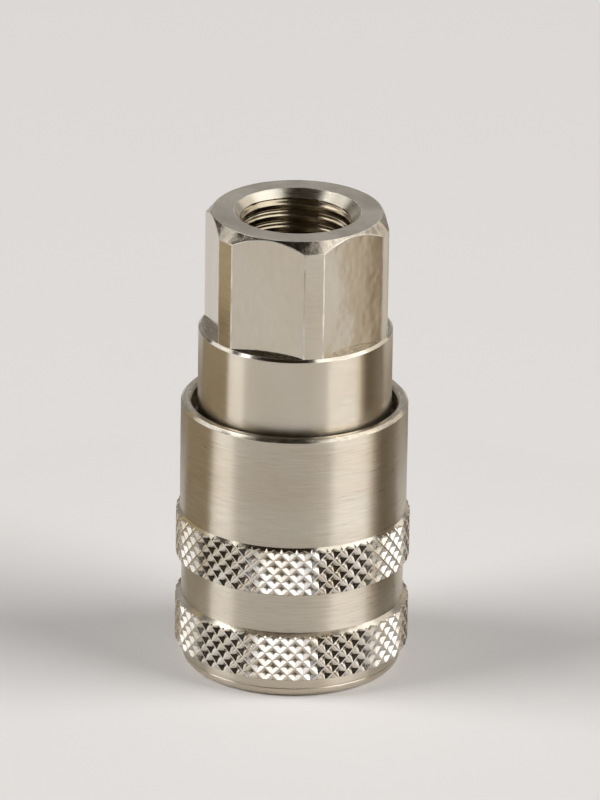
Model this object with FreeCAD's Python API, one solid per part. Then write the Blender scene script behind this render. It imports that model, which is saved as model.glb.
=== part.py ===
"""Quick coupling, socket half: a ball-lock socket with a knurled pull-back sleeve and a poppet valve.

The axis is +Z. The plug end stands on z = 0 and the threaded hex end is on top. Millimetres.
"""
import FreeCAD, Part
import math
import os

Vector = FreeCAD.Vector

# Plug bore and the balls that lock the plug
plug_bore_diameter = 12.1
plug_entry_chamfer = 0.6
ball_diameter = 3.0
ball_count = 8
ball_height = 8.2
ball_protrusion = 0.9
ball_stands_proud = 0.05
grease_groove_below_balls = 2.1
grease_groove_width = 0.8
grease_groove_depth = 0.4

# Front body: the barrel that takes the plug and cages the balls
barrel_edge_chamfer = 0.4
bore_past_seal = 1.95
neck_step = 0.2
neck_wall = 1.9
neck_below_shoulder = 2.5
neck_engagement = 8.0
valve_seat_diameter = 9.4
valve_seat_land = 1.2

# Sleeve, inside
sleeve_travel = 4.5
sleeve_flange_above_balls = 5.3
sleeve_spring_space = 2.75
sleeve_stop_width = 1.25
sleeve_inner_chamfer = 0.25
sleeve_mouth_gap = 0.6
sleeve_mouth_depth = 2.6

# Sleeve, outside, from the plug end upwards
sleeve_wall = 1.75
sleeve_base_height = 2.0
sleeve_base_step = 0.4
sleeve_base_fillet = 0.8
knurl_height = 5.85
knurl_rise = 0.4
knurl_depth = 0.5
knurl_count = 48
knurl_end_ledge = 0.06
knurl_chamfer = 0.4
knurl_min_end = 0.6
sleeve_groove_height = 4.4
sleeve_groove_step = 0.25
sleeve_plain_height = 12.8
sleeve_rim_chamfer = 0.3

# Retaining ring that stops the sleeve
ring_thickness = 1.0
ring_bottom = 2.1
ring_groove_depth = 0.75
ring_overlap = 0.75
ring_gap = 4.0

# Rear body with the hex and the threaded port
shoulder_exposed = 8.7
shoulder_in_sleeve = 5.9
shoulder_chamfer = 0.3
hex_height = 13.5
hex_across_flats = 19.0
hex_corner_rise = 0.9
hex_face_inset = 0.15
hex_chamfer_height = 1.25
port_minor_diameter = 11.8
port_countersink_width = 1.1
passage_diameter = 9.0
passage_length = 2.5
passage_chamber_height = 2.0
drill_point_slope = 0.6

# Valve
poppet_nose_reach = 1.7
poppet_nose_step = 1.4
poppet_cone_height = 0.7
poppet_lip_gap = 0.3
poppet_lip_thickness = 0.75
poppet_flow_gap = 0.6
poppet_flange_thickness = 1.4
poppet_edge_chamfer = 0.45
stem_diameter = 4.0
stem_past_hub = 0.8
guide_ring_gap = 0.35
guide_ring_thickness = 1.5
guide_hub_rim = 0.3
guide_hub_height = 3.0
guide_hub_drop = 0.5
guide_spoke_width = 2.0
guide_spoke_count = 3

# Seals
plug_seal_section = 1.6
plug_seal_groove_depth = 1.25
plug_seal_above_balls = 3.7
backup_ring_width = 1.05
valve_seal_section = 1.5
body_seal_section = 1.0
body_seal_below_neck_end = 2.0

# Springs
sleeve_spring_wire = 1.2
sleeve_spring_open_turns = 3
valve_spring_wire = 0.6
valve_spring_open_turns = 6
valve_spring_stem_gap = 0.8

# Clearances
running_clearance = 0.06
shoulder_clearance = 0.1
thread_clearance = 0.05
ball_clearance = 0.08
ball_hole_clearance = 0.05
seat_clearance = 0.05
groove_clearance = 0.05

# The balls stand a little proud of the barrel, which sets the barrel's radius
plug_bore_radius = plug_bore_diameter / 2
ball_radius = ball_diameter / 2
ball_orbit = plug_bore_radius - ball_protrusion + ball_radius
ball_travel = ball_protrusion + running_clearance
barrel_radius = ball_orbit + ball_radius - ball_stands_proud
neck_radius = barrel_radius - neck_step
chamber_radius = neck_radius - neck_wall
seat_radius = valve_seat_diameter / 2

# A groove for grease rings the bore between its mouth and the balls
grease_groove_radius = plug_bore_radius + grease_groove_depth
grease_groove_top = ball_height - grease_groove_below_balls
grease_groove_bottom = grease_groove_top - grease_groove_width

# Sleeve radii, from the barrel outwards
guide_bore_radius = barrel_radius + running_clearance
spring_bore_radius = barrel_radius + sleeve_spring_space
shoulder_radius = spring_bore_radius - shoulder_clearance
mouth_radius = shoulder_radius + sleeve_mouth_gap
plain_radius = spring_bore_radius + sleeve_wall
base_radius = plain_radius - sleeve_base_step
groove_radius = plain_radius - sleeve_groove_step
knurl_radius = plain_radius + knurl_rise

# Sleeve and rear body heights
lower_knurl_bottom = sleeve_base_height
groove_bottom = lower_knurl_bottom + knurl_height
upper_knurl_bottom = groove_bottom + sleeve_groove_height
plain_bottom = upper_knurl_bottom + knurl_height
sleeve_top = plain_bottom + sleeve_plain_height
sleeve_flange_top = ball_height + sleeve_flange_above_balls
shoulder_bottom = sleeve_top - shoulder_in_sleeve
ledge_height = sleeve_top + shoulder_exposed
total_height = ledge_height + hex_height

# The sleeve's locking taper: the balls follow it outwards as the sleeve is drawn back
ring_top = ring_bottom + ring_thickness
stop_height = ring_top + seat_clearance
taper_slope = ball_travel / sleeve_travel
taper_at_balls = ball_orbit + (ball_radius + ball_clearance) * math.hypot(1, taper_slope)
taper_top = ball_height + (taper_at_balls - guide_bore_radius) / taper_slope
recess_radius = taper_at_balls + (ball_height - stop_height) * taper_slope
skirt_radius = recess_radius + sleeve_stop_width

# The neck of the front body runs up to the valve guide, which the rear body clamps
rear_bore_radius = neck_radius + thread_clearance
neck_bottom = shoulder_bottom - neck_below_shoulder
neck_end = shoulder_bottom + neck_engagement
guide_top = neck_end + guide_ring_thickness
hub_bottom = neck_end - guide_hub_drop
hub_top = hub_bottom + guide_hub_height

# Flow path through the rear body, up to the threaded port
port_radius = port_minor_diameter / 2
passage_radius = passage_diameter / 2
chamber_top = guide_top + passage_chamber_height
passage_bottom = chamber_top + chamber_radius - passage_radius
passage_top = passage_bottom + passage_length
port_bottom = passage_top + drill_point_slope * (port_radius - passage_radius)

# The plug seal and its backup ring share one groove in the bore
plug_seal_groove_bottom = ball_height + plug_seal_above_balls
plug_seal_groove_radius = plug_bore_radius + plug_seal_groove_depth
plug_seal_bottom = plug_seal_groove_bottom + 2 * groove_clearance + backup_ring_width
plug_seal_groove_top = plug_seal_bottom + plug_seal_section + groove_clearance
plug_bore_depth = plug_seal_groove_top + bore_past_seal

# The valve seal lies on the 45 degree seat, and the poppet is built round it
seat_bottom = plug_bore_depth + valve_seat_land
valve_seal_radius = valve_seal_section / 2
valve_seal_height = seat_bottom + (valve_seal_radius + seat_clearance) * math.sqrt(2)
poppet_groove_radius = seat_radius - valve_seal_radius - groove_clearance
poppet_groove_bottom = valve_seal_height - valve_seal_radius - groove_clearance
poppet_groove_top = valve_seal_height + valve_seal_radius + groove_clearance
poppet_flange_top = poppet_groove_top + poppet_flange_thickness
stem_radius = stem_diameter / 2
valve_spring_orbit = stem_radius + valve_spring_stem_gap + valve_spring_wire / 2

# The body seal lies in a groove round the neck
body_seal_height = neck_end - body_seal_below_neck_end
body_seal_orbit = rear_bore_radius - body_seal_section / 2 - groove_clearance
body_seal_groove_radius = body_seal_orbit - body_seal_section / 2 - groove_clearance


def turned(points):
    """Solid of revolution about Z from a closed outline of (radius, height) points."""
    outline = [Vector(radius, 0, height) for radius, height in points]
    face = Part.Face(Part.makePolygon(outline + outline[:1]))
    return face.revolve(Vector(0, 0, 0), Vector(0, 0, 1), 360)


def turned_skin(edges):
    """Surface of revolution about Z from connected edges in the XZ plane."""
    return Part.Wire(edges).revolve(Vector(0, 0, 0), Vector(0, 0, 1), 360)


def profile_edges(points):
    """Straight edges in the XZ plane through (radius, height) points."""
    ends = [Vector(radius, 0, height) for radius, height in points]
    return [Part.makeLine(start, end) for start, end in zip(ends, ends[1:])]


def seal_ring(orbit, section, height):
    """O-ring with the given radius of its core line and section diameter."""
    return Part.makeTorus(orbit, section / 2, Vector(0, 0, height))


def polar(radius, turn, height):
    """Point at a radius, an angle in whole turns and a height."""
    angle = 2 * math.pi * turn
    return Vector(radius * math.cos(angle), radius * math.sin(angle), height)


def ring_points(radius, steps, height):
    return [polar(radius, step / steps, height) for step in range(steps)]


def triangle(a, b, c):
    return Part.Face(Part.makePolygon([a, b, c, a]))


def coil_spring(orbit, wire, bottom, top, open_turns):
    """Compression spring with one closed turn at each end.

    Each half turn is a tilted half circle, level where it meets the next, so the wire runs on smoothly.
    """
    closed_rise = wire + seat_clearance
    open_rise = (top - bottom - wire - 2 * closed_rise) / open_turns
    rises = [closed_rise] * 2 + [open_rise] * (2 * open_turns) + [closed_rise] * 2
    height = bottom + wire / 2
    side = 1
    arcs = []
    for rise in rises:
        climb = rise / 2
        start = Vector(side * orbit, 0, height)
        middle = Vector(0, side * math.hypot(orbit, climb / 2), height + climb / 2)
        end = Vector(-side * orbit, 0, height + climb)
        arcs.append(Part.Arc(start, middle, end).toShape())
        height += climb
        side = -side
    section = Part.Wire(Part.makeCircle(wire / 2, Vector(orbit, 0, bottom + wire / 2), Vector(0, 1, 0)))
    return Part.Wire(arcs).makePipe(Part.Face(section))


def knurl_rows(bottom, top, radius_below, radius_above):
    """Rings of points of a diamond knurl, with rows of pits and ridge crossings between two chamfers.

    The diamonds are as high as they are wide, and each row is turned by half a diamond.
    """
    steps = 2 * knurl_count
    row_rise = 2 * math.pi * knurl_radius / steps
    row_gaps = int((top - bottom - 2 * knurl_min_end) / row_rise)
    first_row = (bottom + top - row_gaps * row_rise) / 2
    rows = [
        ring_points(radius_below + knurl_end_ledge, steps, bottom),
        ring_points(knurl_radius, steps, bottom + knurl_chamfer),
    ]
    for row in range(row_gaps + 1):
        points = []
        for step in range(steps):
            is_pit = (step + row) % 2 == 0
            radius = knurl_radius - knurl_depth if is_pit else knurl_radius
            points.append(polar(radius, step / steps, first_row + row * row_rise))
        rows.append(points)
    rows.append(ring_points(knurl_radius, steps, top - knurl_chamfer))
    rows.append(ring_points(radius_above + knurl_end_ledge, steps, top))
    return rows


def knurled_band(bottom, top, radius_below, radius_above):
    """Faces of one knurled band, with a narrow flat ledge at each end."""
    rows = knurl_rows(bottom, top, radius_below, radius_above)
    faces = []
    for row, (low, high) in enumerate(zip(rows, rows[1:])):
        for step in range(len(low)):
            beside = (step + 1) % len(low)
            rising_ridge = (step + row) % 2 == 1
            if rising_ridge:
                faces.append(triangle(low[step], low[beside], high[beside]))
                faces.append(triangle(low[step], high[beside], high[step]))
            else:
                faces.append(triangle(low[step], low[beside], high[step]))
                faces.append(triangle(low[beside], high[beside], high[step]))
    for points, radius in ((rows[0], radius_below), (rows[-1], radius_above)):
        rim = Part.Wire(Part.makeCircle(radius, Vector(0, 0, points[0].z)))
        faces.append(Part.Face([Part.makePolygon(points + points[:1]), rim]))
    return faces


def locking_sleeve():
    """Sleeve with two knurled bands outside and the locking taper inside."""
    mouth_bottom = sleeve_top - sleeve_mouth_depth
    fillet_side = base_radius - sleeve_base_fillet
    fillet_reach = sleeve_base_fillet * math.sqrt(0.5)
    corner = Part.Arc(
        Vector(fillet_side, 0, 0),
        Vector(fillet_side + fillet_reach, 0, sleeve_base_fillet - fillet_reach),
        Vector(base_radius, 0, sleeve_base_fillet),
    ).toShape()
    inside = profile_edges([
        (plain_radius, plain_bottom),
        (plain_radius, sleeve_top - sleeve_rim_chamfer),
        (plain_radius - sleeve_rim_chamfer, sleeve_top),
        (mouth_radius, sleeve_top),
        (mouth_radius, mouth_bottom),
        (spring_bore_radius, mouth_bottom - (mouth_radius - spring_bore_radius)),
        (spring_bore_radius, sleeve_flange_top),
        (guide_bore_radius, sleeve_flange_top),
        (guide_bore_radius, taper_top),
        (recess_radius, stop_height),
        (skirt_radius, stop_height),
        (skirt_radius, sleeve_inner_chamfer),
        (skirt_radius + sleeve_inner_chamfer, 0),
        (fillet_side, 0),
    ])
    base_wall = profile_edges([(base_radius, sleeve_base_fillet), (base_radius, lower_knurl_bottom)])
    groove_wall = profile_edges([(groove_radius, groove_bottom), (groove_radius, upper_knurl_bottom)])
    faces = turned_skin(inside + [corner] + base_wall).Faces
    faces += turned_skin(groove_wall).Faces
    faces += knurled_band(lower_knurl_bottom, groove_bottom, base_radius, groove_radius)
    faces += knurled_band(upper_knurl_bottom, plain_bottom, groove_radius, plain_radius)
    skin = Part.Compound(faces)
    skin.sewShape()
    solid = Part.Solid(skin.Shells[0])
    if solid.Volume < 0:
        solid.reverse()
    return solid


def rear_body():
    """Hex end with the threaded port, and the shoulder that guides the sleeve."""
    flat_distance = hex_across_flats / 2
    hex_radius = flat_distance + hex_corner_rise
    sink_radius = port_radius + port_countersink_width
    blank = turned([
        (rear_bore_radius, shoulder_bottom),
        (shoulder_radius - shoulder_chamfer, shoulder_bottom),
        (shoulder_radius, shoulder_bottom + shoulder_chamfer),
        (shoulder_radius, ledge_height - shoulder_chamfer),
        (shoulder_radius - shoulder_chamfer, ledge_height),
        (hex_radius, ledge_height),
        (hex_radius, total_height - hex_chamfer_height),
        (flat_distance - hex_face_inset, total_height),
        (sink_radius, total_height),
        (port_radius, total_height - port_countersink_width),
        (port_radius, port_bottom),
        (passage_radius, passage_top),
        (passage_radius, passage_bottom),
        (chamber_radius, chamber_top),
        (chamber_radius, guide_top),
        (rear_bore_radius, guide_top),
    ])
    for flat in range(6):
        waste = Part.makeBox(
            hex_radius, 2 * hex_radius, hex_height, Vector(flat_distance, -hex_radius, ledge_height)
        )
        waste.rotate(Vector(0, 0, 0), Vector(0, 0, 1), (flat + 0.5) * 60)
        blank = blank.cut(waste)
    return blank


def front_body():
    """Barrel with the plug bore, ball holes, grooves, valve seat and the neck."""
    ring_groove_radius = barrel_radius - ring_groove_depth
    ring_groove_bottom = ring_bottom - groove_clearance
    ring_groove_top = ring_top + groove_clearance
    seal_half = body_seal_section / 2 + groove_clearance
    seat_rise = chamber_radius - seat_radius
    blank = turned([
        (plug_bore_radius + plug_entry_chamfer, 0),
        (barrel_radius - barrel_edge_chamfer, 0),
        (barrel_radius, barrel_edge_chamfer),
        (barrel_radius, ring_groove_bottom),
        (ring_groove_radius, ring_groove_bottom),
        (ring_groove_radius, ring_groove_top),
        (barrel_radius, ring_groove_top),
        (barrel_radius, neck_bottom),
        (neck_radius, neck_bottom),
        (neck_radius, body_seal_height - seal_half),
        (body_seal_groove_radius, body_seal_height - seal_half),
        (body_seal_groove_radius, body_seal_height + seal_half),
        (neck_radius, body_seal_height + seal_half),
        (neck_radius, neck_end),
        (chamber_radius, neck_end),
        (chamber_radius, seat_bottom + seat_rise),
        (seat_radius, seat_bottom),
        (seat_radius, plug_bore_depth),
        (plug_bore_radius, plug_bore_depth),
        (plug_bore_radius, plug_seal_groove_top),
        (plug_seal_groove_radius, plug_seal_groove_top),
        (plug_seal_groove_radius, plug_seal_groove_bottom),
        (plug_bore_radius, plug_seal_groove_bottom),
        (plug_bore_radius, grease_groove_top),
        (grease_groove_radius, grease_groove_top),
        (grease_groove_radius, grease_groove_bottom),
        (plug_bore_radius, grease_groove_bottom),
        (plug_bore_radius, plug_entry_chamfer),
    ])
    hole_radius = ball_radius + ball_hole_clearance
    seat = Part.makeSphere(hole_radius, Vector(ball_orbit, 0, ball_height))
    drilling = Part.makeCylinder(
        hole_radius, barrel_radius, Vector(ball_orbit, 0, ball_height), Vector(1, 0, 0)
    )
    hole = seat.fuse(drilling)
    for ball in range(ball_count):
        cutter = hole.copy()
        cutter.rotate(Vector(0, 0, 0), Vector(0, 0, 1), ball_angle(ball))
        blank = blank.cut(cutter)
    return blank


def ball_angle(ball):
    """Angle of a ball about the axis, with the first one half a step from +X."""
    return (ball + 0.5) * 360 / ball_count


def locking_ball(ball):
    shape = Part.makeSphere(ball_radius, Vector(ball_orbit, 0, ball_height))
    shape.rotate(Vector(0, 0, 0), Vector(0, 0, 1), ball_angle(ball))
    return shape


def retaining_ring():
    """Split flat ring that snaps into the barrel's groove and stops the sleeve."""
    inner_radius = barrel_radius - ring_groove_depth + groove_clearance
    outer_radius = recess_radius + ring_overlap
    ring = turned([
        (inner_radius, ring_bottom),
        (outer_radius, ring_bottom),
        (outer_radius, ring_top),
        (inner_radius, ring_top),
    ])
    slot = Part.makeBox(outer_radius, ring_gap, ring_thickness, Vector(0, -ring_gap / 2, ring_bottom))
    return ring.cut(slot)


def valve_poppet():
    """Poppet with a nose that the plug pushes, a seal groove, a spring flange and a guide stem."""
    lip_radius = seat_radius - poppet_lip_gap
    nose_radius = lip_radius - poppet_nose_step
    flange_radius = chamber_radius - poppet_flow_gap
    nose_bottom = plug_bore_depth - poppet_nose_reach
    lip_bottom = poppet_groove_bottom - poppet_lip_thickness
    stem_top = hub_top + stem_past_hub
    return turned([
        (0, nose_bottom),
        (nose_radius - poppet_edge_chamfer, nose_bottom),
        (nose_radius, nose_bottom + poppet_edge_chamfer),
        (nose_radius, lip_bottom - poppet_cone_height),
        (lip_radius, lip_bottom),
        (lip_radius, poppet_groove_bottom),
        (poppet_groove_radius, poppet_groove_bottom),
        (poppet_groove_radius, poppet_groove_top),
        (flange_radius, poppet_groove_top),
        (flange_radius, poppet_flange_top),
        (stem_radius, poppet_flange_top),
        (stem_radius, stem_top - poppet_edge_chamfer),
        (stem_radius - poppet_edge_chamfer, stem_top),
        (0, stem_top),
    ])


def valve_guide():
    """Spider clamped between the two bodies: a ring, spokes and a hub that guides the poppet's stem."""
    ring_radius = rear_bore_radius - guide_ring_gap
    hub_radius = valve_spring_orbit + valve_spring_wire / 2 + guide_hub_rim
    hub_bore = stem_radius + running_clearance
    spider = turned([
        (chamber_radius, neck_end),
        (ring_radius, neck_end),
        (ring_radius, guide_top),
        (chamber_radius, guide_top),
    ])
    hub = turned([
        (hub_bore, hub_bottom),
        (hub_radius, hub_bottom),
        (hub_radius, hub_top),
        (hub_bore, hub_top),
    ])
    spider = spider.fuse(hub)
    middle_of_ring = (chamber_radius + ring_radius) / 2
    middle_of_hub = (hub_bore + hub_radius) / 2
    for spoke in range(guide_spoke_count):
        arm = Part.makeBox(
            middle_of_ring - middle_of_hub, guide_spoke_width, guide_ring_thickness,
            Vector(middle_of_hub, -guide_spoke_width / 2, neck_end),
        )
        arm.rotate(Vector(0, 0, 0), Vector(0, 0, 1), 360 * spoke / guide_spoke_count)
        spider = spider.fuse(arm)
    return spider.removeSplitter()


def plug_seal():
    orbit = plug_seal_groove_radius - plug_seal_section / 2 - groove_clearance
    return seal_ring(orbit, plug_seal_section, plug_seal_bottom + plug_seal_section / 2)


def plug_backup_ring():
    """Flat ring beside the plug seal that keeps it from being pressed out of its groove."""
    bottom = plug_seal_groove_bottom + groove_clearance
    inner_radius = plug_bore_radius + groove_clearance
    outer_radius = plug_seal_groove_radius - groove_clearance
    return turned([
        (inner_radius, bottom),
        (outer_radius, bottom),
        (outer_radius, bottom + backup_ring_width),
        (inner_radius, bottom + backup_ring_width),
    ])


def sleeve_spring():
    return coil_spring(
        (barrel_radius + spring_bore_radius) / 2, sleeve_spring_wire,
        sleeve_flange_top + seat_clearance, shoulder_bottom - seat_clearance, sleeve_spring_open_turns,
    )


def valve_spring():
    return coil_spring(
        valve_spring_orbit, valve_spring_wire,
        poppet_flange_top + seat_clearance, hub_bottom - seat_clearance, valve_spring_open_turns,
    )


shapes = {
    "rear_body": rear_body(),
    "front_body": front_body(),
    "locking_sleeve": locking_sleeve(),
    "retaining_ring": retaining_ring(),
    "sleeve_spring": sleeve_spring(),
    "valve_poppet": valve_poppet(),
    "valve_seal": seal_ring(seat_radius, valve_seal_section, valve_seal_height),
    "valve_spring": valve_spring(),
    "valve_guide": valve_guide(),
    "plug_seal": plug_seal(),
    "plug_backup_ring": plug_backup_ring(),
    "body_seal": seal_ring(body_seal_orbit, body_seal_section, body_seal_height),
}
for ball in range(ball_count):
    shapes[f"locking_ball_{ball + 1}"] = locking_ball(ball)

os.makedirs("parts", exist_ok=True)
for node, shape in shapes.items():
    shape.exportStep(f"parts/{node}.step")
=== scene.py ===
"""Looks of the quick coupling: finer meshes, metal finishes, stage and camera on the CAD frame."""

import math

import bmesh
import bpy
import numpy as np
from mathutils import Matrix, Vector


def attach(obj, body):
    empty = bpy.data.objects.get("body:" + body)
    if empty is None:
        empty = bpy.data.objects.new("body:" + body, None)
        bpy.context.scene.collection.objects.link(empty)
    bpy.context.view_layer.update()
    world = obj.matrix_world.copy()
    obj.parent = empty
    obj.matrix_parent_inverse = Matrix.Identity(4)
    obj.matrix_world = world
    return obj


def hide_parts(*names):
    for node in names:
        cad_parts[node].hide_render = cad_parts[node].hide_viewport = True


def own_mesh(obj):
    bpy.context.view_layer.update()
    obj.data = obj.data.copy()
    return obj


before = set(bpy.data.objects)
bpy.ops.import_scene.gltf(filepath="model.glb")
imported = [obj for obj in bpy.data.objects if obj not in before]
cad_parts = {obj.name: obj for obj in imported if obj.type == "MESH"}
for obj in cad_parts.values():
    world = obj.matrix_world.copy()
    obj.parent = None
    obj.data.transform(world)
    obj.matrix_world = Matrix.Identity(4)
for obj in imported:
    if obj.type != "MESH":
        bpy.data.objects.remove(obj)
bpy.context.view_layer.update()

# Named lengths are in millimetres, and named angles are in degrees
MM = 0.001
MERGE_DISTANCE = 1e-5
CUT_TOLERANCE = 1e-6

# Rounded corners of turned outlines, which take at most a share of each side
CORNER_ROUNDING = 0.06
ROUNDING_SEGMENTS = 3
SIDE_SHARE = 0.45

# Sleeve, outside, from the plug end upwards
SLEEVE_COLUMNS = 192
SLEEVE_CREASE = 20
BASE_TOP = 2.0
BASE_STEP = 0.4
BAND_HEIGHT = 5.85
KNURL_RISE = 0.4
GROOVE_HEIGHT = 4.4
GROOVE_STEP = 0.25
PLAIN_HEIGHT = 12.8
PLAIN_RADIUS = 12.6
RIM_CHAMFER = 0.36
BASE_RADIUS = PLAIN_RADIUS - BASE_STEP
KNURL_RADIUS = PLAIN_RADIUS + KNURL_RISE
GROOVE_RADIUS = PLAIN_RADIUS - GROOVE_STEP
LOWER_TOP = BASE_TOP + BAND_HEIGHT
UPPER_BOTTOM = LOWER_TOP + GROOVE_HEIGHT
UPPER_TOP = UPPER_BOTTOM + BAND_HEIGHT
SLEEVE_TOP = UPPER_TOP + PLAIN_HEIGHT

# Foot of the sleeve and the line scored above it: distance inside the base's radius, and height
FOOT = ((0.8, 0.0), (0.35, 0.12), (0.1, 0.42), (0.0, 0.95))
SCORED_LINE = ((0.05, 1.0), (0.05, 1.08), (0.0, 1.13))

# Diamond knurl, pressed in, with shares of a diamond's width
KNURL_COUNT = 48
KNURL_DEPTH = 0.42
KNURL_CHAMFER = 0.4
KNURL_TURN = -1.2
CROSSING_HEIGHT = 0.1
RIDGE_SHARE = 0.10
FLOOR_SHARE = 0.12
# Depth below the crests where the painted shade and grime in the knurl's pits begin
UNDARKENED_DEPTH = 0.25

# Shoulder and hex of the rear body
BODY_COLUMNS = 240
BODY_CREASE = 28
SHOULDER_RADIUS = 10.75
SHOULDER_IN_SLEEVE = 5.9
SHOULDER_EXPOSED = 8.7
SHOULDER_CHAMFER = 0.3
HEX_SIDES = 6
HEX_HEIGHT = 13.5
HEX_FOOT = 0.15
HEX_CHAMFER = 1.25
FLAT_DISTANCE = 9.5
CORNER_RISE = 0.9
FACE_INSET = 0.15
SHOULDER_BOTTOM = SLEEVE_TOP - SHOULDER_IN_SLEEVE
LEDGE = SLEEVE_TOP + SHOULDER_EXPOSED
TOP = LEDGE + HEX_HEIGHT
HEX_RADIUS = FLAT_DISTANCE + CORNER_RISE
FACE_RADIUS = FLAT_DISTANCE - FACE_INSET
FLAT_SPACING = 360 / HEX_SIDES
FLAT_HALF_ANGLE = math.degrees(math.acos(FLAT_DISTANCE / HEX_RADIUS))
COLUMN_ANGLE = 360 / BODY_COLUMNS

# Bevel of the rear body's edges: full width at the hex corners, and a share of it elsewhere
EDGE_BEVEL = 0.10
CORNER_BEVEL = 1.0
FACE_BEVEL = 0.7
LEDGE_BEVEL = 0.2

# Bore, passage and port of the rear body, upwards
REAR_BORE = 7.95
GUIDE_TOP = 34.5
CHAMBER_RADIUS = 6.0
CHAMBER_HEIGHT = 2.0
PASSAGE_RADIUS = 4.5
PASSAGE_LENGTH = 2.5
DRILL_SLOPE = 0.6
PORT_RADIUS = 5.9
SINK_WIDTH = 1.1
PLAIN_SINK = 0.3
SINK_TOLERANCE = 0.004
CHAMBER_TOP = GUIDE_TOP + CHAMBER_HEIGHT
PASSAGE_BOTTOM = CHAMBER_TOP + CHAMBER_RADIUS - PASSAGE_RADIUS
PASSAGE_TOP = PASSAGE_BOTTOM + PASSAGE_LENGTH
PORT_BOTTOM = PASSAGE_TOP + DRILL_SLOPE * (PORT_RADIUS - PASSAGE_RADIUS)
SINK_RADIUS = PORT_RADIUS + SINK_WIDTH

# Pipe thread in the port, with its start as a share of a turn
THREAD_PITCH = 1.337
THREAD_DEPTH = 0.42
THREAD_ROWS = 20
THREAD_RUNOUT = 2.0
THREAD_START = 0.63
CREST_SHARE = 0.3

# Springs, between the seat that moves and the one that stays
SLEEVE_SPRING_SEAT = 13.5

# Sleeve, inside, from the mouth downwards
MOUTH_GAP = 0.6
MOUTH_CHAMFER = 0.3
MOUTH_DEPTH = 2.6
SLEEVE_WALL = 1.75
GUIDE_BORE = 8.16
TAPER_TOP = 8.72
RECESS_RADIUS = 9.343
STOP_HEIGHT = 3.15
STOP_WIDTH = 1.25
SKIRT_CHAMFER = 0.25
MOUTH_RADIUS = SHOULDER_RADIUS + MOUTH_GAP
MOUTH_BOTTOM = SLEEVE_TOP - MOUTH_DEPTH
SPRING_BORE = PLAIN_RADIUS - SLEEVE_WALL
SKIRT_RADIUS = RECESS_RADIUS + STOP_WIDTH

# Order of the finishes on the rear body and on the sleeve
POLISHED, MILLED, TURNED, THREADED, FACED, EDGE, SUNK, WORN = range(8)
PLAIN, KNURL, CONE, RIM = range(4)


def add_mesh(name, mesh):
    """Object for a mesh, in the scene."""
    piece = bpy.data.objects.new(name, mesh)
    bpy.context.scene.collection.objects.link(piece)
    return piece


def mesh_from(work, name):
    """Mesh in metres from a working mesh in millimetres, with consistent normals."""
    bmesh.ops.remove_doubles(work, verts=work.verts, dist=MERGE_DISTANCE)
    bmesh.ops.recalc_face_normals(work, faces=work.faces)
    bmesh.ops.scale(work, vec=(MM, MM, MM), verts=work.verts)
    mesh = bpy.data.meshes.new(name)
    work.to_mesh(mesh)
    work.free()
    return mesh


def sharpen(piece, angle):
    """Smooth shading, with hard edges above an angle and between two finishes."""
    mesh = piece.data
    mesh.shade_smooth()
    mesh.set_sharp_from_angle(angle=math.radians(angle))
    finishes = {}
    for face in mesh.polygons:
        for key in face.edge_keys:
            finishes.setdefault(key, set()).add(face.material_index)
    for edge in mesh.edges:
        if len(finishes[edge.key]) > 1:
            edge.use_edge_sharp = True


def new_vert(work, radius, angle, height):
    """Corner of a working mesh at a radius, an angle in radians and a height."""
    return work.verts.new((radius * math.cos(angle), radius * math.sin(angle), height))


def rounded(points):
    """Outline of (radius, height) points with each inner corner rounded."""
    outline = [points[0]]
    for before, corner, after in zip(points, points[1:], points[2:]):
        here = np.array(corner, float)
        back = np.array(before, float) - here
        ahead = np.array(after, float) - here
        reach = min(CORNER_ROUNDING, SIDE_SHARE * np.linalg.norm(back), SIDE_SHARE * np.linalg.norm(ahead))
        start = here + back / np.linalg.norm(back) * reach
        end = here + ahead / np.linalg.norm(ahead) * reach
        for step in range(ROUNDING_SEGMENTS + 1):
            share = step / ROUNDING_SEGMENTS
            curve = (1 - share) ** 2 * start + 2 * share * (1 - share) * here + share ** 2 * end
            outline.append(tuple(curve))
    outline.append(points[-1])
    return outline


def ring_faces(work, low, high, finish):
    """Quads between two rings of corners that close round the axis."""
    for column in range(len(low)):
        beside = (column + 1) % len(low)
        face = work.faces.new((low[column], low[beside], high[beside], high[column]))
        face.material_index = finish


def lathe(work, outline, columns, finish):
    """Turned surface from an outline of (radius, height) points."""
    rings = []
    for radius, height in outline:
        ring = []
        for column in range(columns):
            ring.append(new_vert(work, radius, 2 * math.pi * column / columns, height))
        rings.append(ring)
    for low, high in zip(rings, rings[1:]):
        ring_faces(work, low, high, finish)


def flat_angle(angle):
    """Angle in degrees from the middle of the nearest hex flat, for an angle in radians."""
    return math.degrees(angle) % FLAT_SPACING - FLAT_SPACING / 2


def hex_wall(angle):
    """Distance of the hex wall from the axis: a flat, or the turned strip between two flats."""
    return min(HEX_RADIUS, FLAT_DISTANCE / math.cos(math.radians(flat_angle(angle))))


def hex_break(angle):
    """Height where the hex wall meets the turned chamfer."""
    inset = HEX_RADIUS - hex_wall(angle)
    return TOP - HEX_CHAMFER + inset * HEX_CHAMFER / (HEX_RADIUS - FACE_RADIUS)


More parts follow.
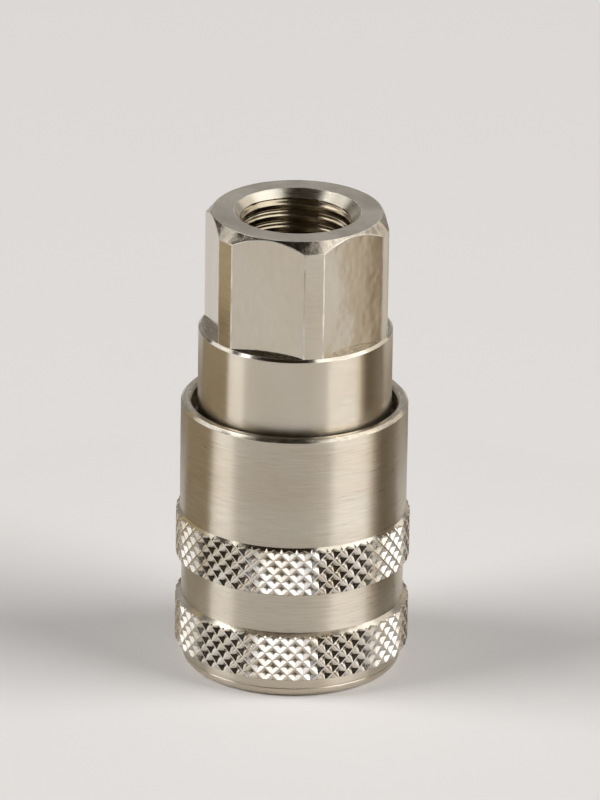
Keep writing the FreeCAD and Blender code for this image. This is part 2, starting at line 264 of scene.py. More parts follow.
def body_outline(angle):
    """Outside of the rear body at an angle: radius, height, finish up to there, and bevel there."""
    wall = hex_wall(angle)
    return [
        (REAR_BORE, SHOULDER_BOTTOM, POLISHED, 0),
        (SHOULDER_RADIUS - SHOULDER_CHAMFER, SHOULDER_BOTTOM, POLISHED, 0),
        (SHOULDER_RADIUS, SHOULDER_BOTTOM + SHOULDER_CHAMFER, POLISHED, 0),
        (SHOULDER_RADIUS, LEDGE - SHOULDER_CHAMFER, POLISHED, LEDGE_BEVEL),
        (SHOULDER_RADIUS - SHOULDER_CHAMFER, LEDGE, FACED, LEDGE_BEVEL),
        (wall, LEDGE, WORN, 0),
        (wall, LEDGE + HEX_FOOT, TURNED, 0),
        (wall, hex_break(angle), TURNED, FACE_BEVEL),
        (FACE_RADIUS, TOP, WORN, FACE_BEVEL),
        (SINK_RADIUS, TOP, FACED, FACE_BEVEL),
        (SINK_RADIUS - PLAIN_SINK, TOP - PLAIN_SINK, SUNK, 0),
    ]


def body_outside(work):
    """Outside of the rear body, over the rim of the countersink to the plain ring inside it."""
    bevel_layer = work.edges.layers.float.new("bevel_weight_edge")
    angles = [2 * math.pi * column / BODY_COLUMNS for column in range(BODY_COLUMNS)]
    corner_columns = []
    for column, angle in enumerate(angles):
        if abs(abs(flat_angle(angle)) - FLAT_HALF_ANGLE) < COLUMN_ANGLE / 2:
            corner_columns.append(column)
    below = None
    for level in zip(*[body_outline(angle) for angle in angles]):
        ring = []
        for angle, (radius, height, *_) in zip(angles, level):
            ring.append(new_vert(work, radius, angle, height))
        *_, finish, bevel = level[0]
        if below:
            ring_faces(work, below, ring, finish)
        if bevel:
            for vert, beside in zip(ring, ring[1:] + ring[:1]):
                work.edges.get((vert, beside))[bevel_layer] = bevel
        if finish == TURNED:
            for column in corner_columns:
                work.edges.get((below[column], ring[column]))[bevel_layer] = CORNER_BEVEL
        below = ring
    for face in work.faces:
        middle = face.calc_center_median()
        on_flat = abs(flat_angle(math.atan2(middle.y, middle.x))) < FLAT_HALF_ANGLE
        if face.material_index == TURNED and on_flat:
            face.material_index = MILLED


def thread_cut(phase):
    """Depth of the thread over one pitch, with a flat crest and rounded flanks."""
    swing = abs(2 * phase - 1)
    slope = min(max((swing - CREST_SHARE) / (1 - CREST_SHARE), 0), 1)
    return THREAD_DEPTH * slope * slope * (3 - 2 * slope)


def port_wall(work):
    """Rest of the countersink and the threaded port, whose rows climb one pitch in a turn."""
    lowest = PORT_BOTTOM - THREAD_PITCH
    rows = int((TOP - lowest) / THREAD_PITCH + 1) * THREAD_ROWS
    columns = []
    for column in range(BODY_COLUMNS):
        turn = column / BODY_COLUMNS
        points = []
        for row in range(rows + 1):
            height = lowest + THREAD_PITCH * (row / THREAD_ROWS + turn + THREAD_START)
            height = min(max(height, PORT_BOTTOM), TOP - PLAIN_SINK)
            fade = min((height - PORT_BOTTOM) / THREAD_RUNOUT, 1)
            radius = PORT_RADIUS + thread_cut((row % THREAD_ROWS) / THREAD_ROWS) * fade
            radius = max(radius, SINK_RADIUS - (TOP - height))
            points.append(new_vert(work, radius, 2 * math.pi * turn, height))
        columns.append(points)
    for column, here in enumerate(columns):
        beside = columns[(column + 1) % BODY_COLUMNS]
        shift = THREAD_ROWS if column == BODY_COLUMNS - 1 else 0
        for row in range(rows):
            low = min(row + shift, rows)
            high = min(row + 1 + shift, rows)
            corners = [here[row], here[row + 1], beside[high]]
            if low != high:
                corners.append(beside[low])
            middle = sum((corner.co for corner in corners), Vector()) / len(corners)
            from_cone = math.hypot(middle.x, middle.y) - SINK_RADIUS + TOP - middle.z
            finish = SUNK if abs(from_cone) < SINK_TOLERANCE else THREADED
            work.faces.new(corners).material_index = finish


def build_rear_body():
    """Rear body with its hex, its threaded port and the bore that takes the front body."""
    work = bmesh.new()
    body_outside(work)
    port_wall(work)
    lathe(work, [
        (PORT_RADIUS, PORT_BOTTOM),
        (PASSAGE_RADIUS, PASSAGE_TOP),
        (PASSAGE_RADIUS, PASSAGE_BOTTOM),
        (CHAMBER_RADIUS, CHAMBER_TOP),
        (CHAMBER_RADIUS, GUIDE_TOP),
        (REAR_BORE, GUIDE_TOP),
        (REAR_BORE, SHOULDER_BOTTOM),
    ], BODY_COLUMNS, THREADED)
    piece = add_mesh("rear_body_look", mesh_from(work, "rear_body_look"))
    bevel = piece.modifiers.new("edge bevel", "BEVEL")
    bevel.limit_method = "WEIGHT"
    bevel.width = EDGE_BEVEL * MM
    bevel.segments = 2
    bevel.use_clamp_overlap = False
    bevel.harden_normals = True
    bevel.material = EDGE
    sharpen(piece, BODY_CREASE)
    return piece


def pit_depth(share):
    """Depth of a pit by the distance from its nearest ridge, as a share of the half diamond."""
    slope = (share - RIDGE_SHARE) / (1 - RIDGE_SHARE - FLOOR_SHARE)
    return KNURL_DEPTH * min(max(slope, 0), 1)


def knurl_net(bottom, top, pitch):
    """Unrolled net of diamonds (along, height, radius), from lines that climb and lines that drop."""
    work = bmesh.new()
    cells = math.ceil((top - bottom) / pitch) + 1
    offsets = (-RIDGE_SHARE / 2, RIDGE_SHARE / 2, (1 - FLOOR_SHARE) / 2, (1 + FLOOR_SHARE) / 2)
    ridge, falling, pit_floor, rising = range(len(offsets))
    lines = [cell + offset for cell in range(-cells, cells + 2) for offset in offsets]
    corners = {}
    for row, up in enumerate(lines):
        for column, down in enumerate(lines):
            along = pitch * (up + down) / 2
            height = bottom + CROSSING_HEIGHT + pitch * (up - down) / 2
            nearest = min(abs(up - round(up)), abs(down - round(down)))
            radius = KNURL_RADIUS - pit_depth(2 * nearest)
            corners[row, column] = work.verts.new((along, height, radius))
    for row in range(len(lines) - 1):
        for column in range(len(lines) - 1):
            quad = [
                corners[row, column], corners[row + 1, column],
                corners[row + 1, column + 1], corners[row, column + 1],
            ]
            strips = (row % len(offsets), column % len(offsets))
            if ridge in strips or pit_floor in strips:
                work.faces.new(quad)
            elif strips in ((falling, falling), (rising, rising)):
                work.faces.new((quad[0], quad[1], quad[2]))
                work.faces.new((quad[0], quad[2], quad[3]))
            else:
                work.faces.new((quad[0], quad[1], quad[3]))
                work.faces.new((quad[1], quad[2], quad[3]))
    return work


def knurl_strip(bottom, top, below, above):
    """One diamond's width of a knurled band: corners (share of a pitch, height, radius) and faces."""
    pitch = 2 * math.pi * KNURL_RADIUS / KNURL_COUNT
    work = knurl_net(bottom, top, pitch)
    cuts = [
        ((0, 0, 0), (-1, 0, 0), True),
        ((pitch, 0, 0), (1, 0, 0), True),
        ((0, bottom, 0), (0, -1, 0), True),
        ((0, top, 0), (0, 1, 0), True),
        ((0, bottom, below), (0, below - KNURL_RADIUS, KNURL_CHAMFER), False),
        ((0, top, above), (0, KNURL_RADIUS - above, KNURL_CHAMFER), False),
    ]
    for point, normal, clear in cuts:
        bmesh.ops.bisect_plane(
            work, geom=work.verts[:] + work.edges[:] + work.faces[:], dist=CUT_TOLERANCE,
            plane_co=point, plane_no=normal, clear_outer=clear,
        )
    work.verts.index_update()

    def cone_radius(height):
        low = below + (height - bottom) * (KNURL_RADIUS - below) / KNURL_CHAMFER
        high = above + (top - height) * (KNURL_RADIUS - above) / KNURL_CHAMFER
        return min(low, high)

    points = []
    for vert in work.verts:
        along, height, radius = vert.co
        points.append((along / pitch, height, min(radius, cone_radius(height))))
    faces = []
    for face in work.faces:
        along, height, radius = face.calc_center_median()
        finish = CONE if radius > cone_radius(height) else KNURL
        faces.append(([vert.index for vert in face.verts], finish))
    work.free()
    return points, faces


def knurled_band(work, bottom, top, below, above):
    """Band of diamonds with a cone at each end, down to the radius below and the one above it."""
    points, faces = knurl_strip(bottom, top, below, above)
    for diamond in range(KNURL_COUNT):
        verts = []
        for along, height, radius in points:
            angle = 2 * math.pi * (diamond + along) / KNURL_COUNT + math.radians(KNURL_TURN)
            verts.append(new_vert(work, radius, angle, height))
        for corners, finish in faces:
            work.faces.new([verts[corner] for corner in corners]).material_index = finish


def build_sleeve():
    """Locking sleeve with its two knurled bands and the stepped bore."""
    work = bmesh.new()
    plain = [
        (PLAIN_RADIUS, UPPER_TOP),
        (PLAIN_RADIUS, SLEEVE_TOP - RIM_CHAMFER),
    ]
    rim = [
        (PLAIN_RADIUS, SLEEVE_TOP - RIM_CHAMFER),
        (PLAIN_RADIUS - RIM_CHAMFER, SLEEVE_TOP),
        (MOUTH_RADIUS + MOUTH_CHAMFER, SLEEVE_TOP),
        (MOUTH_RADIUS, SLEEVE_TOP - MOUTH_CHAMFER),
        (MOUTH_RADIUS, MOUTH_BOTTOM),
    ]
    inside = [
        (MOUTH_RADIUS, MOUTH_BOTTOM),
        (SPRING_BORE, MOUTH_BOTTOM - (MOUTH_RADIUS - SPRING_BORE)),
        (SPRING_BORE, SLEEVE_SPRING_SEAT),
        (GUIDE_BORE, SLEEVE_SPRING_SEAT),
        (GUIDE_BORE, TAPER_TOP),
        (RECESS_RADIUS, STOP_HEIGHT),
        (SKIRT_RADIUS, STOP_HEIGHT),
        (SKIRT_RADIUS, SKIRT_CHAMFER),
        (SKIRT_RADIUS + SKIRT_CHAMFER, 0.0),
    ]
    base = [(BASE_RADIUS - inset, height) for inset, height in FOOT + SCORED_LINE]
    base.append((BASE_RADIUS, BASE_TOP))
    groove = [
        (GROOVE_RADIUS, LOWER_TOP),
        (GROOVE_RADIUS, UPPER_BOTTOM),
    ]
    lathe(work, plain, SLEEVE_COLUMNS, PLAIN)
    lathe(work, rounded(rim), SLEEVE_COLUMNS, RIM)
    lathe(work, rounded(inside + base), SLEEVE_COLUMNS, PLAIN)
    lathe(work, groove, SLEEVE_COLUMNS, PLAIN)
    knurled_band(work, BASE_TOP, LOWER_TOP, BASE_RADIUS, GROOVE_RADIUS)
    knurled_band(work, UPPER_BOTTOM, UPPER_TOP, GROOVE_RADIUS, PLAIN_RADIUS)
    piece = add_mesh("locking_sleeve_look", mesh_from(work, "locking_sleeve_look"))
    sharpen(piece, SLEEVE_CREASE)
    return piece


# Noise runs mostly between its low and high values, and tints change over a narrower stretch
NOISE_LOW = 0.3
NOISE_HIGH = 0.7
PATCH_LOW = 0.35
PATCH_HIGH = 0.65
GRAIN_DETAIL = 3.0
GRAIN_ROUGHNESS = 0.6

# Turning lines follow the height plus this much of the radius
RADIUS_WEIGHT = 1.7

# Values of shader inputs
QUARTER_TURN = 0.25
LEVEL = (1, 1, 0)
WHITE = (1, 1, 1)


def set_inputs(node, **values):
    """Constants on a node's inputs; an underscore in a name stands for a space."""
    for name, value in values.items():
        node.inputs[name.replace("_", " ")].default_value = value


def new_node(tree, kind, **values):
    """Node with constants on its inputs."""
    node = tree.nodes.new(kind)
    set_inputs(node, **values)
    return node


def new_vector_math(tree, operation, first, second=None):
    """Vector operation on a socket, with a constant where it takes two."""
    node = tree.nodes.new("ShaderNodeVectorMath")
    node.operation = operation
    tree.links.new(first, node.inputs[0])
    if second is not None:
        node.inputs[1].default_value = second
    return node


def new_material(name, **values):
    """Material and its shader, with constants on the shader's inputs."""
    material = bpy.data.materials.new(name)
    material.use_nodes = True
    shader = material.node_tree.nodes["Principled BSDF"]
    set_inputs(shader, **values)
    return material, shader


def turned_place(tree):
    """Coordinates of a turned surface: direction round the axis, and the way across the turning lines."""
    place = tree.nodes.new("ShaderNodeTexCoord").outputs["Object"]
    level = new_vector_math(tree, "MULTIPLY", place, LEVEL).outputs["Vector"]
    unit = new_vector_math(tree, "NORMALIZE", level)
    radius = new_vector_math(tree, "LENGTH", level)
    around_axis = tree.nodes.new("ShaderNodeSeparateXYZ")
    tree.links.new(unit.outputs["Vector"], around_axis.inputs[0])
    height = tree.nodes.new("ShaderNodeSeparateXYZ")
    tree.links.new(place, height.inputs[0])
    across = tree.nodes.new("ShaderNodeMath")
    across.operation = "MULTIPLY_ADD"
    across.inputs[1].default_value = RADIUS_WEIGHT
    tree.links.new(radius.outputs["Value"], across.inputs[0])
    tree.links.new(height.outputs["Z"], across.inputs[2])
    whole = tree.nodes.new("ShaderNodeCombineXYZ")
    tree.links.new(around_axis.outputs["X"], whole.inputs["X"])
    tree.links.new(around_axis.outputs["Y"], whole.inputs["Y"])
    tree.links.new(across.outputs["Value"], whole.inputs["Z"])
    return whole.outputs["Vector"]


def noise(tree, scale, detail=2.0, roughness=0.5, turned=False):
    """Noise with a scale per metre along each axis; when turned, the first two run round the axis."""
    if turned:
        place = turned_place(tree)
    else:
        place = tree.nodes.new("ShaderNodeTexCoord").outputs["Object"]
    mapping = new_node(tree, "ShaderNodeMapping", Scale=scale)
    texture = new_node(tree, "ShaderNodeTexNoise", Scale=1.0, Detail=detail, Roughness=roughness)
    tree.links.new(place, mapping.inputs["Vector"])
    tree.links.new(mapping.outputs["Vector"], texture.inputs["Vector"])
    return texture.outputs["Fac"]


def ramp(tree, factor, stops):
    """Colour ramp with (position, colour) stops."""
    node = tree.nodes.new("ShaderNodeValToRGB")
    elements = node.color_ramp.elements
    while len(elements) < len(stops):
        elements.new(0.5)
    for element, (position, colour) in zip(elements, stops):
        element.position = position
        element.color = (*colour, 1.0)
    tree.links.new(factor, node.inputs["Fac"])
    return node.outputs["Color"]


def spread(tree, factor, first, last, low, high):
    """Value that runs from low to high while a factor runs from first to last."""
    node = new_node(tree, "ShaderNodeMapRange", From_Min=first, From_Max=last, To_Min=low, To_Max=high)
    tree.links.new(factor, node.inputs["Value"])
    return node.outputs["Result"]


def new_bump(tree, factor, height):
    """Bump of a height in millimetres."""
    bump = new_node(tree, "ShaderNodeBump", Strength=1.0, Distance=height * MM)
    tree.links.new(factor, bump.inputs["Height"])
    return bump.outputs["Normal"]


def metal(name, tints, patches, roughness, grain, grain_height, brushed=0.0, turned=False, streak=1.0):
    """Plated metal: tint patches darkened along the grain, a roughness range, and the grain as bump."""
    material, shader = new_material(name, Metallic=1.0)
    tree = material.node_tree
    tint = ramp(tree, noise(tree, patches), [(PATCH_LOW, tints[0]), (PATCH_HIGH, tints[1])])
    fine = noise(tree, grain, GRAIN_DETAIL, GRAIN_ROUGHNESS, turned)
    darkening = ramp(tree, fine, [(NOISE_LOW, (streak, streak, streak)), (NOISE_HIGH, WHITE)])
    shade = tree.nodes.new("ShaderNodeMix")
    shade.data_type = "RGBA"
    shade.blend_type = "MULTIPLY"
    shade.inputs["Factor"].default_value = 1.0
    tree.links.new(tint, shade.inputs["A"])
    tree.links.new(darkening, shade.inputs["B"])
    tree.links.new(shade.outputs["Result"], shader.inputs["Base Color"])
    tree.links.new(spread(tree, fine, NOISE_LOW, NOISE_HIGH, *roughness), shader.inputs["Roughness"])
    tree.links.new(new_bump(tree, fine, grain_height), shader.inputs["Normal"])
    if brushed:
        set_inputs(shader, Anisotropic=brushed, Anisotropic_Rotation=QUARTER_TURN)
        tangent = tree.nodes.new("ShaderNodeTangent")
        tangent.direction_type = "RADIAL"
        tangent.axis = "Z"
        tree.links.new(tangent.outputs["Tangent"], shader.inputs["Tangent"])
    return material


def plain_look(name, tints, patches, roughness, grain, grain_height):
    """Rubber or plastic with a little mottling and a fine grain."""
    material = metal(name, tints, patches, roughness, grain, grain_height)
    set_inputs(material.node_tree.nodes["Principled BSDF"], Metallic=0.0)
    return material


def add_waves(material, scale, height):
    """Slow unevenness under a finish's own grain."""
    tree = material.node_tree
    grain = next(node for node in tree.nodes if node.type == "BUMP")
    tree.links.new(new_bump(tree, noise(tree, scale), height), grain.inputs["Normal"])


def add_shade_and_grime(material, undarkened_radius, deep, shade_and_dirt):
    """Painted shade, with some dirt, that darkens a turned surface from an outer radius inwards to a deep
    one.
    """
    tree = material.node_tree
    shader = tree.nodes["Principled BSDF"]
    tint = shader.inputs["Base Color"].links[0].from_socket
    place = tree.nodes.new("ShaderNodeTexCoord").outputs["Object"]
    level = new_vector_math(tree, "MULTIPLY", place, LEVEL)
    radius = new_vector_math(tree, "LENGTH", level.outputs["Vector"])
    undarkened_share = spread(tree, radius.outputs["Value"], deep * MM, undarkened_radius * MM, 0.0, 1.0)
    mix = tree.nodes.new("ShaderNodeMix")
    mix.data_type = "RGBA"
    mix.inputs["A"].default_value = (*shade_and_dirt, 1)
    tree.links.new(undarkened_share, mix.inputs["Factor"])
    tree.links.new(tint, mix.inputs["B"])
    tree.links.new(mix.outputs["Result"], shader.inputs["Base Color"])


# Finishes
NICKEL_PALE = (0.76, 0.73, 0.68)
NICKEL = (0.66, 0.61, 0.52)
NICKEL_WARM = (0.62, 0.55, 0.44)
NICKEL_DULL = (0.50, 0.45, 0.37)
# Painted shade, with grime, deep in the knurl's pits
PIT_SHADE_AND_GRIME = (0.22, 0.19, 0.15)

polished_nickel = metal(
    "nickel polished", tints=(NICKEL, NICKEL_WARM), patches=(90, 90, 60), roughness=(0.21, 0.27),
    grain=(4, 4, 6000), grain_height=0.002, brushed=0.93, turned=True, streak=0.95)
milled_nickel = metal(
    "nickel milled", tints=(NICKEL, NICKEL_WARM), patches=(160, 160, 60), roughness=(0.08, 0.15),
    grain=(1600, 1600, 700), grain_height=0.001, streak=0.92)
add_waves(milled_nickel, scale=(350, 350, 260), height=0.05)
turned_nickel = metal(
    "nickel turned", tints=(NICKEL, NICKEL_WARM), patches=(120, 120, 120), roughness=(0.12, 0.20),
    grain=(5, 5, 4500), grain_height=0.003, brushed=0.3, turned=True, streak=0.9)
faced_nickel = metal(
    "nickel faced", tints=(NICKEL, NICKEL_DULL), patches=(260, 260, 260), roughness=(0.10, 0.19),
    grain=(6, 6, 4500), grain_height=0.0015, brushed=0.3, turned=True, streak=0.88)
# Darker, golden tint in the port and bores: painted shade and bounced gold light of the recess
port_nickel = metal(
    "nickel in the port", tints=((0.46, 0.40, 0.30), (0.36, 0.30, 0.21)), patches=(300, 300, 300),
    roughness=(0.12, 0.22), grain=(4, 4, 4500), grain_height=0.0015, turned=True)
edge_nickel = metal(
    "nickel edge", tints=(NICKEL_PALE, NICKEL_DULL), patches=(350, 350, 350), roughness=(0.38, 0.5),
    grain=(1500, 1500, 1500), grain_height=0.001)
sunk_nickel = metal(
    "nickel countersunk", tints=(NICKEL, NICKEL_WARM), patches=(200, 200, 200), roughness=(0.24, 0.38),
    grain=(4, 4, 3500), grain_height=0.006, brushed=0.8, turned=True, streak=0.85)
worn_nickel = metal(
    "nickel worn", tints=(NICKEL_WARM, NICKEL_DULL), patches=(400, 400, 400), roughness=(0.14, 0.30),
    grain=(14, 14, 3000), grain_height=0.008, turned=True, streak=0.45)
add_waves(worn_nickel, scale=(700, 700, 700), height=0.03)
rim_nickel = metal(
    "nickel rim", tints=(NICKEL, NICKEL_WARM), patches=(400, 400, 400), roughness=(0.16, 0.28),
    grain=(10, 10, 3000), grain_height=0.004, turned=True, streak=0.6)
add_waves(rim_nickel, scale=(550, 550, 550), height=0.018)
brushed_nickel = metal(
    "nickel brushed", tints=(NICKEL, NICKEL_WARM), patches=(60, 60, 200), roughness=(0.27, 0.35),
    grain=(4, 4, 7000), grain_height=0.0007, brushed=0.9, turned=True, streak=0.82)
knurled_nickel = metal(
    "nickel knurled", tints=(NICKEL_PALE, NICKEL), patches=(300, 300, 300), roughness=(0.15, 0.22),
    grain=(2500, 2500, 2500), grain_height=0.0005)
# The knurl's pits darken inwards: painted shade, with grime
add_shade_and_grime(knurled_nickel, KNURL_RADIUS - UNDARKENED_DEPTH, KNURL_RADIUS - KNURL_DEPTH, PIT_SHADE_AND_GRIME)
spring_steel = metal(
    "spring steel", tints=((0.42, 0.42, 0.43), (0.34, 0.34, 0.35)), patches=(300, 300, 300),
    roughness=(0.24, 0.38), grain=(1500, 1500, 1500), grain_height=0.002)
ball_steel = metal(
    "ball steel", tints=((0.74, 0.74, 0.75), (0.68, 0.68, 0.70)), patches=(400, 400, 400),
    roughness=(0.05, 0.10), grain=(2500, 2500, 2500), grain_height=0.0004)
turned_brass = metal(
    "brass turned", tints=((0.72, 0.52, 0.25), (0.62, 0.43, 0.19)), patches=(150, 150, 150),
    roughness=(0.22, 0.36), grain=(5, 5, 4500), grain_height=0.002, turned=True, streak=0.85)
rubber = plain_look(
    "nitrile rubber", tints=((0.012, 0.012, 0.013), (0.022, 0.022, 0.022)), patches=(400, 400, 400),
    roughness=(0.45, 0.62), grain=(4000, 4000, 4000), grain_height=0.004)
plastic = plain_look(
    "backup plastic", tints=((0.78, 0.77, 0.72), (0.70, 0.68, 0.62)), patches=(300, 300, 300),
    roughness=(0.40, 0.55), grain=(3000, 3000, 3000), grain_height=0.002)

# Rear body
body_finishes = [
    polished_nickel, milled_nickel, turned_nickel, port_nickel,
    faced_nickel, edge_nickel, sunk_nickel, worn_nickel,
]
rear = build_rear_body()
for finish in body_finishes:
    rear.data.materials.append(finish)
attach(rear, "root")
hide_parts("rear_body")

# Sleeve
sleeve_finishes = [brushed_nickel, knurled_nickel, faced_nickel, rim_nickel]
sleeve = build_sleeve()
for finish in sleeve_finishes:
    sleeve.data.materials.append(finish)
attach(sleeve, "sleeve")
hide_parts("locking_sleeve")


def build_spring(node_name, body):
    """Copy of a CAD spring that shortens as its joint slides."""
    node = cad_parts[node_name]
    spring = add_mesh(f"{node_name}_look", node.data.copy())
    spring.matrix_world = node.matrix_world
    spring.data.materials.clear()
    spring.data.materials.append(spring_steel)
    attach(spring, body)
    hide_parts(node_name)
    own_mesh(spring)


build_spring("sleeve_spring", "sleeve_carrier")
build_spring("valve_spring", "root")

# Pieces that keep their CAD meshes
node_finishes = {
    "front_body": turned_nickel,
    "retaining_ring": spring_steel,
    "valve_poppet": turned_brass,
    "valve_guide": turned_brass,
    "valve_seal": rubber,
    "plug_seal": rubber,
    "plug_backup_ring": plastic,
    "body_seal": rubber,
}
for node_name, node_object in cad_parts.items():
    finish = ball_steel if node_name.startswith("locking_ball") else node_finishes.get(node_name)
    if finish:
        for material_slot in node_object.material_slots:
            material_slot.material = finish

# Camera, from the fit to the photograph's outline
CAMERA_TURN = 19.0
CAMERA_ELEVATION = 22.3
CAMERA_ROLL = 0.9
CAMERA_DISTANCE = 1100.0
CLIP_START = 10
CLIP_END = 20000
PIXELS_PER_MM = 9.02
AIM_HEIGHT = 26.6
AIM_PIXEL = (294.1, 433.2)
PICTURE = (600, 800)
SENSOR_HEIGHT = 24.0

camera_turn = math.radians(CAMERA_TURN)
towards_camera = Vector((math.sin(camera_turn), -math.cos(camera_turn), 0))
camera_right = Vector((math.cos(camera_turn), math.sin(camera_turn), 0))
aim_point = Vector((0, 0, AIM_HEIGHT * MM))


def outwards(azimuth, elevation):
    """Direction from the object: azimuth from the camera's side towards the picture's right, in degrees."""
    side = math.radians(azimuth)
    rise = math.radians(elevation)
    level = towards_camera * math.cos(side) + camera_right * math.sin(side)
    return level * math.cos(rise) + Vector((0, 0, math.sin(rise)))


view_direction = outwards(0, CAMERA_ELEVATION)
facing = view_direction.to_track_quat("Z", "Y")
roll = math.radians(CAMERA_ROLL)
image_right = facing @ Vector((math.cos(roll), math.sin(roll), 0))
image_up = facing @ Vector((-math.sin(roll), math.cos(roll), 0))
pixels_right = PICTURE[0] / 2 - AIM_PIXEL[0]
pixels_up = AIM_PIXEL[1] - PICTURE[1] / 2
aim_shift = (image_right * pixels_right + image_up * pixels_up) * (MM / PIXELS_PER_MM)

camera_data = bpy.data.cameras.new("camera")
camera_data.sensor_fit = "VERTICAL"
camera_data.sensor_height = SENSOR_HEIGHT
camera_data.lens = PIXELS_PER_MM * CAMERA_DISTANCE * SENSOR_HEIGHT / PICTURE[1]
camera_data.clip_start = CLIP_START * MM
camera_data.clip_end = CLIP_END * MM
camera = bpy.data.objects.new("camera", camera_data)
bpy.context.scene.collection.objects.link(camera)
camera.location = aim_point + aim_shift + view_direction * CAMERA_DISTANCE * MM
camera.rotation_euler = facing.to_euler()
camera.rotation_euler.rotate_axis("Z", roll)
bpy.context.scene.camera = camera

# Floor
FLOOR_REACH = 4000
FLOOR_DROP = 0.02
FLOOR_COLOUR = (0.76, 0.733, 0.713, 1)

floor_reach = FLOOR_REACH * MM
floor_corners = [(floor_reach * x, floor_reach * y, 0) for x, y in ((-1, -1), (1, -1), (1, 1), (-1, 1))]
floor_mesh = bpy.data.meshes.new("floor")
floor_mesh.from_pydata(floor_corners, [], [(0, 1, 2, 3)])
floor = add_mesh("floor", floor_mesh)
floor.location.z = -FLOOR_DROP * MM
floor_look, _ = new_material("floor", Base_Color=FLOOR_COLOUR, Roughness=0.6, Specular_IOR_Level=0.2)
floor_mesh.materials.append(floor_look)

# Lamps, which reflections don't show, and cards, which only reflections show
LAMP_DISTANCE = 3000
CARD_STEPS = 12
GRADED_COLOURS = ((0.65, 0.57, 0.47), (0.36, 0.29, 0.21), (0.14, 0.105, 0.065), (0.22, 0.18, 0.13))


def softbox(name, azimuth, elevation, width, height, radiance):
    """Oval lamp that faces the object, with its width and height in degrees."""
    distance = LAMP_DISTANCE * MM
    data = bpy.data.lights.new(name, "AREA")
    data.shape = "ELLIPSE"
    data.size = 2 * distance * math.tan(math.radians(width / 2))
    data.size_y = 2 * distance * math.tan(math.radians(height / 2))
    data.energy = radiance * math.pi * data.size * data.size_y * math.pi / 4
    lamp = bpy.data.objects.new(name, data)
    bpy.context.scene.collection.objects.link(lamp)
    direction = outwards(azimuth, elevation)
    lamp.location = aim_point + direction * distance
    lamp.rotation_euler = direction.to_track_quat("Z", "Y").to_euler()
    lamp.visible_glossy = False


def card(name, azimuths, distances, heights, colour):
    """Curved, glowing card between two azimuths; distances and heights are of its foot and its head."""
    corners = []
    for step in range(CARD_STEPS + 1):
        azimuth = azimuths[0] + (azimuths[1] - azimuths[0]) * step / CARD_STEPS
        for distance, height in zip(distances, heights):
            place = outwards(azimuth, 0) * (distance * MM)
            corners.append((place.x, place.y, height * MM))
    faces = [(2 * step, 2 * step + 2, 2 * step + 3, 2 * step + 1) for step in range(CARD_STEPS)]
    mesh = bpy.data.meshes.new(name)
    mesh.from_pydata(corners, [], faces)
    look, shader = new_material(name, Base_Color=(0, 0, 0, 1), Specular_IOR_Level=0.0)
    set_inputs(shader, Emission_Color=(*colour, 1), Emission_Strength=1.0)
    mesh.materials.append(look)
    piece = add_mesh(name, mesh)
    piece.visible_camera = False
    piece.visible_diffuse = False
    piece.visible_shadow = False


def graded(name, azimuths, distances, heights):
    """Row of cards that darken away from the camera and then lighten a little."""
    for step, colour in enumerate(GRADED_COLOURS):
        card(f"{name} {step + 1}", azimuths[step:step + 2], distances, heights, colour)


softbox("softbox right", azimuth=77, elevation=33, width=44, height=54, radiance=5.3)
softbox("softbox left", azimuth=-82, elevation=33, width=38, height=46, radiance=6.7)
card("bright card right", (38, 90), (400, 400), (0, 140), (4.1, 4.08, 4.2))
card("wide card right", (22, 90), (400, 400), (140, 250), (1.8, 1.78, 1.8))
card("bright card left", (-100, -60), (400, 400), (0, 140), (4.1, 4.08, 4.2))
card("wide card left", (-110, -44), (400, 400), (140, 250), (1.35, 1.34, 1.35))
card("front card", (-45, 45), (600, 600), (0, 225), (0.30, 0.285, 0.265))
card("high card right", (38, 138), (420, 420), (250, 1000), (2.0, 2.0, 2.0))
card("high card left", (-126, -98), (420, 420), (250, 530), (1.5, 1.5, 1.5))
card("top card left", (-126, -76), (420, 420), (530, 900), (3.0, 3.0, 3.0))
# Dark cards round the object: painted shadow of the floor beside it and dark surroundings, seen only in
# reflections
graded("low card right", (68.5, 74.5, 80.5, 95, 112), (30, 42), (0, 25))
graded("upper card right", (73, 77, 81.5, 98, 114), (42, 60), (25, 62))
card("first low card left", (-97, -77), (34, 46), (0, 28.5), (0.30, 0.24, 0.15))
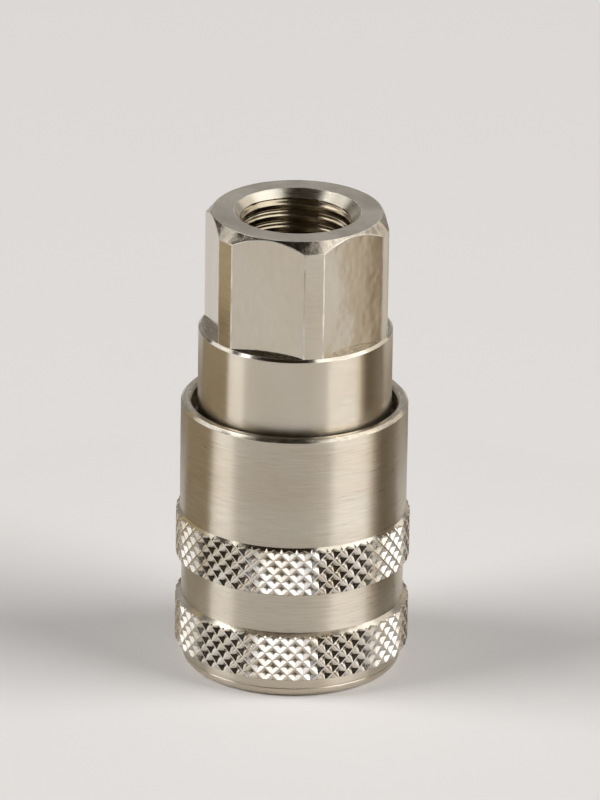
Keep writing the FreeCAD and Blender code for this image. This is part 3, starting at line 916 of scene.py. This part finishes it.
card("second low card left", (-126, -97), (34, 46), (0, 28.5), (0.32, 0.265, 0.185))
card("upper card left", (-126, -74), (46, 60), (28.5, 60), (0.50, 0.42, 0.28))
card("pale card right", (106, 138), (300, 300), (25, 330), (1.2, 1.14, 1.06))
# Dark floor cards, here and on the left: painted shadow on the floor farther out, seen only in reflections
card("floor card right", (104, 165), (66, 66), (0, 14), (0.28, 0.225, 0.165))
card("strip card right", (138, 165), (66, 66), (14, 34), (0.62, 0.57, 0.49))
card("floor card left", (-165, -126), (66, 66), (0, 14), (0.27, 0.23, 0.185))

# World: pale behind the object for the camera and for reflections, and dim for other light
WORLD_DIM = (0.03, 0.03, 0.03, 1)
WORLD_TONES = [
    (0.0, (0.027, 0.02, 0.013)),
    (0.45, (0.05, 0.04, 0.03)),
    (0.72, (0.165, 0.155, 0.145)),
    (0.87, (0.46, 0.45, 0.44)),
    (1.0, (0.50, 0.49, 0.48)),
]

world = bpy.data.worlds.new("studio")
bpy.context.scene.world = world
world.use_nodes = True
world_tree = world.node_tree
background = world_tree.nodes["Background"]
ray_direction = world_tree.nodes.new("ShaderNodeTexCoord").outputs["Generated"]
behind = new_vector_math(world_tree, "DOT_PRODUCT", ray_direction, outwards(180, CAMERA_ELEVATION))
tone = ramp(world_tree, behind.outputs["Value"], WORLD_TONES)
world_tree.links.new(tone, background.inputs["Color"])
dim = new_node(world_tree, "ShaderNodeBackground", Color=WORLD_DIM)
ray = world_tree.nodes.new("ShaderNodeLightPath")
shown = world_tree.nodes.new("ShaderNodeMath")
shown.operation = "MAXIMUM"
world_tree.links.new(ray.outputs["Is Camera Ray"], shown.inputs[0])
world_tree.links.new(ray.outputs["Is Glossy Ray"], shown.inputs[1])
choice = world_tree.nodes.new("ShaderNodeMixShader")
world_tree.links.new(shown.outputs["Value"], choice.inputs["Fac"])
world_tree.links.new(dim.outputs["Background"], choice.inputs[1])
world_tree.links.new(background.outputs["Background"], choice.inputs[2])
world_tree.links.new(choice.outputs["Shader"], world_tree.nodes["World Output"].inputs["Surface"])

bpy.context.scene.view_settings.view_transform = "Standard"
